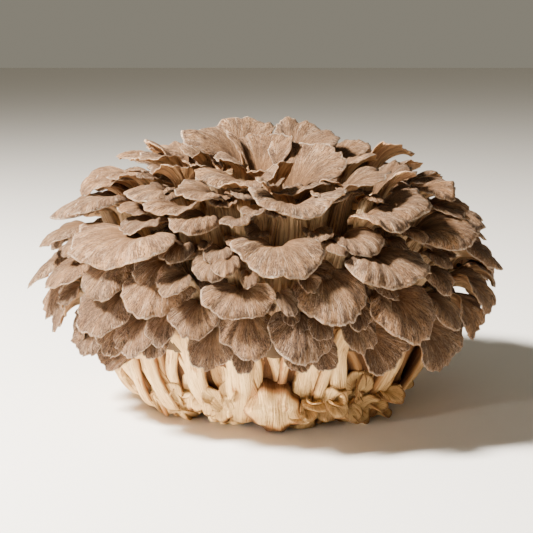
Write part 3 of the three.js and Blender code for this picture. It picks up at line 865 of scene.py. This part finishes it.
def knobRows(draw):
    rows = list(knobRule["front"])
    count = knobRule["backCount"]
    for i in range(count):
        half = draw.between(*knobRule["backHalf"])
        azimuth = mix(*knobRule["backAzimuths"], (i + draw.between(*knobRule["backStray"])) / count)
        distance = draw.between(*knobRule["backDistance"])
        height = draw.between(*knobRule["backHeight"])
        deep, high = knobRule["backShape"]
        rows.append((azimuth, distance, height, half, half * deep, half * high))
    for i in range(knobRule["crumbCount"]):
        azimuth = draw.between(*knobRule["crumbAzimuths"][i % 4])
        half = draw.between(*knobRule["crumbHalf"])
        height = draw.between(*knobRule["crumbHeight"])
        distance = flare(*knobRule["crumbFlare"], azimuth * degrees, height)
        distance = distance + draw.between(*knobRule["crumbOut"])
        rise = half * draw.between(*knobRule["crumbRise"])
        rows.append((azimuth, distance, height, half, half * knobRule["crumbDepth"], rise))
    return rows


# Lumps cut through at the foot, and crumbs of them.
def addKnobs():
    template, place = roundTemplate(*knobRule["grain"])
    crumbTemplate, crumbPlace = roundTemplate(*knobRule["crumbGrain"])
    draw = Draw(knobRule["seed"])
    pieces = []
    for i, (azimuth, distance, height, width, depth, rise) in enumerate(knobRows(draw)):
        small = width < knobRule["crumbHalf"][1]
        directions = crumbPlace if small else place
        phase = draw.between(0, 6)
        x, y, up = directions[:, 0], -directions[:, 1], directions[:, 2]
        size = facetedReach(np.stack([x, y, up], 1), draw)
        size = size + 0.035 * np.sin(11 * x + 4 * up + phase)
        size = size + 0.03 * np.sin(9 * up - 7 * x + 2 * phase)
        size = size - 0.05 * np.abs(np.sin(3.5 * np.arctan2(x, up) + phase)) ** 4
        lift = draw.between(*knobRule["lift"]) if i else 0
        z = np.maximum(base["clearance"], height + lift + up * size * rise)
        points = spot(azimuth * degrees + x * size * width / distance, distance + y * size * depth, z)
        # Painted shade on the edges, the right side, the underside and the lumps next to the largest; the
        # top gets a brown crust.
        stainAndShade = knobRule["edgeStainAndShade"] * smooth(0.84, 0.4, y)
        stainAndShade = stainAndShade + knobRule["stainTop"] * smooth(0.35, 0.8, up + 0.3 * x)
        stainAndShade = stainAndShade + knobRule["shadeRight"] * smooth(0.45, 0.8, x)
        stainAndShade = stainAndShade + knobRule["shadeBelow"] * smooth(-0.3, -0.8, up)
        if 0 < abs(azimuth - largestKnob[0]) < knobRule["besideReach"]:
            stainAndShade = stainAndShade + knobRule["shadeBeside"]
        grain = (x * width, z, knobRule["grainStart"] + i * knobRule["grainStep"])
        pieces.append(shapedCopy(crumbTemplate if small else template, points, grain, stainAndShade))
    bpy.data.objects.remove(template)
    bpy.data.objects.remove(crumbTemplate)
    return joined(pieces, "baseKnobs")


petalRule = {
    "seed": 733,
    "firstIndex": 2000,
    "grain": (18, 8),
    "count": 68,
    "azimuths": [(14, 56), (20, 50), (-60, -10), (60, 285)],  # taken in turn
    "low": (4, 20),
    "width": (10, 20),
    "length": (9, 15),
    "turn": 50,
    "lean": (5, 65),
    "aside": 0.35,
    "rimPitch": (5, 60),
    "stem": 12,
    "flare": (62, 99),  # radius of foot and of top of the flare that they stand on
    "stainRim": 0.75,
    "stainStem": 0.6,
    "shadeRight": 0.4,
}


# Torn petals: small pale fans that stand out of the foot.
def addPetals():
    slab = frondSlab(*petalRule["grain"])
    s, _, _ = frondShares(slab)
    ownStain = petalRule["stainRim"] * smooth(0.9, 1, s) + petalRule["stainStem"] * smooth(0, -0.5, s)
    upright = np.array([0, 0, 1])
    draw = Draw(petalRule["seed"])
    pieces = []
    for i in range(petalRule["count"]):
        azimuth = draw.between(*petalRule["azimuths"][i % 4])
        low = draw.between(*petalRule["low"])
        width = draw.between(*petalRule["width"])
        length = draw.between(*petalRule["length"])
        turn = draw.either(petalRule["turn"])
        frond = growFrond((azimuth, 60, 0, width, length, turn, 0, 0, 0), petalRule["firstIndex"] + i)
        lean = draw.between(*petalRule["lean"]) * degrees
        outwards = outwardsAt(azimuth)
        aside = np.cross(outwards, upright) * draw.either(petalRule["aside"])
        frond["up"] = unitVector(outwards * math.cos(lean) + upright * math.sin(lean) + aside)
        facing = unitVector(np.cross(np.cross(frond["up"], outwards), frond["up"]))
        frond["down"] = -facing if i % 4 else facing
        frond["across"] = np.cross(frond["up"], frond["down"])
        frond["rimPitch"] = draw.between(*petalRule["rimPitch"])
        frond["detailed"] = False
        frond["stem"] = petalRule["stem"]
        frond["root"] = spot(azimuth * degrees, flare(*petalRule["flare"], azimuth * degrees, low) - 1, low)
        petal = shapeFrond(slab, frond)
        # Painted shade on the petals on the right side.
        right = petalRule["shadeRight"] * smooth(0.3, 0.8, math.sin(azimuth * degrees))
        setFloats(petal.data, "stainAndShade", ownStain + right)
        place = placesOf(petal.data)
        place[:, 2] = np.maximum(place[:, 2], base["clearance"] * mm)
        movePoints(petal.data, place)
        pieces.append(petal)
    bpy.data.objects.remove(slab)
    return joined(pieces, "basePetals")


# A shader value: arithmetic on it adds Math nodes, and node adds any other kind.
class Wire:
    def __init__(self, tree, socket=None):
        self.tree = tree
        self.socket = socket

    def node(self, kind, settings, sockets, output=0):
        made = self.tree.nodes.new(kind)
        for name, value in settings.items():
            setattr(made, name, value)
        for name, value in sockets.items():
            if isinstance(value, Wire):
                self.tree.links.new(value.socket, made.inputs[name])
            else:
                made.inputs[name].default_value = value
        return Wire(self.tree, made.outputs[output])

    def maths(self, operation, *values):
        return self.node("ShaderNodeMath", {"operation": operation}, dict(enumerate(values)))

    def __add__(self, other):
        return self.maths("ADD", self, other)

    def __radd__(self, other):
        return self.maths("ADD", other, self)

    def __sub__(self, other):
        return self.maths("SUBTRACT", self, other)

    def __rsub__(self, other):
        return self.maths("SUBTRACT", other, self)

    def __mul__(self, other):
        return self.maths("MULTIPLY", self, other)

    def __rmul__(self, other):
        return self.maths("MULTIPLY", other, self)


def newFinish(name, roughness, specular=0.25):
    material = bpy.data.materials.new(name)
    material.use_nodes = True
    tree = material.node_tree
    shader = tree.nodes["Principled BSDF"]
    shader.inputs["Roughness"].default_value = roughness
    shader.inputs["Specular IOR Level"].default_value = specular
    return material, Wire(tree), shader


def feed(wire, shader, name):
    wire.tree.links.new(wire.socket, shader.inputs[name])


def ramp(wire, low, high):
    sockets = {"Value": wire, "From Min": low, "From Max": high}
    return wire.node("ShaderNodeMapRange", {"interpolation_type": "SMOOTHSTEP"}, sockets)


def blendColors(share, first, second):
    factor, colorA, colorB, colorOut = 0, 6, 7, 2  # sockets of a Mix node that mixes colours
    sockets = {factor: share, colorA: first, colorB: second}
    return share.node("ShaderNodeMix", {"data_type": "RGBA"}, sockets, colorOut)


# Lays colours over one another: each layer is where it shows, how strongly, and which colour.
def layered(color, layers, colors):
    for mask, strength, name in layers:
        color = blendColors(mask * strength if strength < 1 else mask, color, colors[name])
    return color


def vectorOf(start, name):
    return start.node("ShaderNodeAttribute", {"attribute_name": name}, {}, "Vector")


def valueOf(start, name):
    return start.node("ShaderNodeAttribute", {"attribute_name": name}, {}, "Fac")


# Noise over a grain: the smaller along is, the more it is drawn out along the fibres.
def noise(grain, along, size, detail, roughness):
    scaled = grain.node("ShaderNodeMapping", {}, {"Vector": grain, "Scale": (1, along, 1)})
    sockets = {"Vector": scaled, "Scale": size, "Detail": detail, "Roughness": roughness}
    return grain.node("ShaderNodeTexNoise", {}, sockets)


# The distance of a bump is in metres.
def feedBump(start, shader, distance, relief):
    sockets = {"Strength": 1.0, "Distance": distance, "Height": relief}
    feed(start.node("ShaderNodeBump", {}, sockets), shader, "Normal")


capColors = {
    "pale": (0.37, 0.212, 0.105, 1),
    "mid": (0.18, 0.092, 0.042, 1),
    "dark": (0.04, 0.018, 0.009, 1),
    "cool": (0.10, 0.072, 0.055, 1),
    "rim": (0.82, 0.63, 0.46, 1),
    "under": (0.80, 0.46, 0.22, 1),
    "stem": (0.90, 0.62, 0.34, 1),
    "furrow": (0.30, 0.115, 0.055, 1),
    "throat": (0.40, 0.19, 0.075, 1),
}
capNoises = {  # scale along the fibres, scale of the whole, detail, roughness
    "fibres": (0.2, 1.9, 3, 0.6),
    "speckle": (0.6, 1.5, 3, 0.7),
    "patches": (0.6, 0.14, 5, 0.65),
    "clouds": (0.5, 0.22, 4, 0.6),
    "broad": (0.7, 0.055, 3, 0.5),
    "streaks": (0.09, 0.5, 4, 0.6),
    "frost": (0.15, 1.1, 3, 0.65),
    "furrows": (0.07, 0.3, 4, 0.6),
}
fleshColors = {
    "pale": (0.94, 0.64, 0.29, 1),
    "mid": (0.66, 0.37, 0.14, 1),
    "dark": (0.36, 0.15, 0.047, 1),
    "stainAndShade": (0.42, 0.16, 0.04, 1),
    # deep: mostly painted shade, where the attribute is highest
    "deep": (0.12, 0.048, 0.016, 1),
}
fleshNoises = {
    "fibres": (0.07, 1.2, 4, 0.65),
    "strands": (0.06, 0.35, 3, 0.6),
    "patches": (0.6, 0.16, 4, 0.6),
}


def capFinish():
    material, start, shader = newFinish("capSkin", 0.8)
    grain = vectorOf(start, "fanPlace")
    reach = valueOf(start, "fanReach")
    under = valueOf(start, "fanUnder")
    # The tone holds a random darkness and painted shade on the lower fronds and the front of the hem.
    toneAndShade = valueOf(start, "fanToneAndShade")
    warmth = valueOf(start, "fanWarmth")
    made = {name: noise(grain, *settings) for name, settings in capNoises.items()}
    fibres, speckle, patches = made["fibres"], made["speckle"], made["patches"]
    shade = fibres + toneAndShade * 0.06 - reach * 0.1
    blotches = ramp(patches + speckle * 0.3, 0.6, 0.7) * ramp(reach, 0.3, 0.95)
    frost = ramp(made["frost"], 0.52, 0.66) * ramp(reach, 0.2, 0.9)
    pores = ramp(fibres * 0.4 + speckle * 0.4 + patches * 0.2, 0.47, 0.57)
    edge = ramp(reach + fibres * 0.1, 1.015, 1.04) * ramp(speckle, 0.34, 0.54)
    skin = layered(blendColors(ramp(shade, 0.33, 0.6), capColors["pale"], capColors["mid"]), [
        (ramp(made["clouds"], 0.48, 0.64), 0.5, "throat"),
        (blotches, 0.7, "cool"),
        (ramp(warmth, 0.5, 1), 0.4, "throat"),
        (ramp(warmth, 0.5, 0), 0.3, "cool"),
        (ramp(toneAndShade, 0.4, 1), 0.35, "mid"),
        (ramp(reach + patches * 0.5, 0.95, 0.4), 0.45, "throat"),
        (ramp(made["broad"], 0.44, 0.58), 0.6, "mid"),
        (ramp(made["streaks"], 0.47, 0.62) * ramp(reach, 1.0, 0.4), 0.8, "mid"),
        (ramp(made["streaks"], 0.46, 0.36) * ramp(reach, 0.1, 0.5), 0.17, "rim"),
        (frost, 0.32, "rim"),
        (ramp(patches, 0.42, 0.62), 0.45, "mid"),
        (pores * (0.4 + ramp(reach, 0.2, 1) * 0.3 + ramp(toneAndShade, 0.3, 1) * 0.3), 1, "dark"),
        (edge * (0.3 + ramp(patches, 0.4, 0.6) * 0.7), 0.7, "rim"),
    ], capColors)
    flesh = blendColors(ramp(reach, -0.2, 0.7), capColors["stem"], capColors["under"])
    flesh = blendColors(ramp(made["furrows"], 0.44, 0.62) * 0.7, flesh, capColors["furrow"])
    color = blendColors(ramp(under, 0.3, 0.7), skin, flesh)
    color = blendColors(ramp(reach, 0.08, -0.2), color, flesh)
    feed(color, shader, "Base Color")
    relief = fibres + speckle - ramp(made["furrows"], 0.4, 0.66) * ramp(under, 0.3, 0.7)
    feedBump(start, shader, 0.0018, relief)
    return material


def stemFinish():
    material, start, shader = newFinish("stemFlesh", 0.6)
    grain = vectorOf(start, "fanPlace")
    stainAndShade = valueOf(start, "stainAndShade")
    made = {name: noise(grain, *settings) for name, settings in fleshNoises.items()}
    fibres, patches = made["fibres"], made["patches"]
    color = blendColors(ramp(fibres, 0.42, 0.66) * 0.8, fleshColors["pale"], fleshColors["mid"])
    color = layered(color, [
        (ramp(made["strands"], 0.48, 0.66), 0.6, "mid"),
        (ramp(fibres * 0.5 + patches * 0.5, 0.52, 0.62), 0.65, "dark"),
        # The attribute holds real brown stains and painted shade; its highest values, on the butt and the
        # sides and backs of stems, turn deep as painted shade.
        (ramp(stainAndShade + fibres * 0.4, 0.6, 1.2), 0.85, "dark"),
        (ramp(patches, 0.6, 0.7), 0.7, "stainAndShade"),
        (ramp(stainAndShade, 0.85, 1.5), 1, "deep"),
    ], fleshColors)
    feed(color, shader, "Base Color")
    feedBump(start, shader, 0.0013, fibres + patches)
    return material


def plainFinish(name, color):
    material, _, shader = newFinish(name, 0.8)
    shader.inputs["Base Color"].default_value = color
    return material


def dress(piece, material):
    piece.data.materials.clear()
    piece.data.materials.append(material)
    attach(piece, "root")


deselect()
crown = addFronds()
print("fronds grown")
cap = capFinish()
for piece in crown:
    dress(piece, cap)
    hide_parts("frond_crown")
inner = addCore()
# Painted shade: the core is coloured almost black to stand for the shade in the gaps between the fronds.
dress(inner, plainFinish("coreInPaintedShade", (0.10, 0.06, 0.03, 1)))
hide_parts("frond_crown")
flesh = stemFinish()
for piece in (addButt(), addStems(), addKnobs(), addPetals()):
    dress(piece, flesh)
    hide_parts("stem_base")
print("base built")

# The floor, the lamps and the light from all round, in metres, watts and degrees.
ground = {"size": 14, "color": (0.80, 0.77, 0.73, 1)}
lamps = {
    "keyLight": {
        "place": (-0.82, -0.3, 1.0), "target": (0, 0, 0.07),
        "power": 130, "size": 0.2, "color": (1.0, 0.95, 0.87), "spread": 180,
    },
    "rakeLight": {
        "place": (-1.0, -0.62, 0.07), "target": (-0.05, -0.07, 0.012),
        "power": 0.17, "size": 0.12, "color": (1.0, 0.92, 0.78), "spread": 12,
    },
    "fillLight": {
        "place": (-0.6, -1.2, 0.2), "target": (0, 0, 0.08),
        "power": 2.6, "size": 0.5, "color": (1.0, 0.84, 0.6), "spread": 180,
    },
}
surroundings = {"color": (0.82, 0.76, 0.61, 1), "strength": 0.3}


def addStage():
    bpy.ops.mesh.primitive_plane_add(size=ground["size"], location=(0, 0, 0))
    floor = bpy.context.object
    floor.name = "floor"
    floor.data.materials.append(plainFinish("floorPaint", ground["color"]))


def addLamp(name, place, target, power, size, color, spread):
    bpy.ops.object.light_add(type="AREA", location=place)
    lamp = bpy.context.object
    lamp.name = name
    lamp.data.energy = power
    lamp.data.size = size
    lamp.data.color = color
    lamp.data.spread = spread * degrees
    lamp.rotation_euler = (Vector(target) - Vector(place)).to_track_quat("-Z", "Y").to_euler()


def addSurroundings():
    world = bpy.data.worlds.new("studio")
    bpy.context.scene.world = world
    world.use_nodes = True
    background = world.node_tree.nodes["Background"]
    background.inputs["Color"].default_value = surroundings["color"]
    background.inputs["Strength"].default_value = surroundings["strength"]


addStage()
for name, settings in lamps.items():
    addLamp(name, **settings)
addSurroundings()
print("stage set")
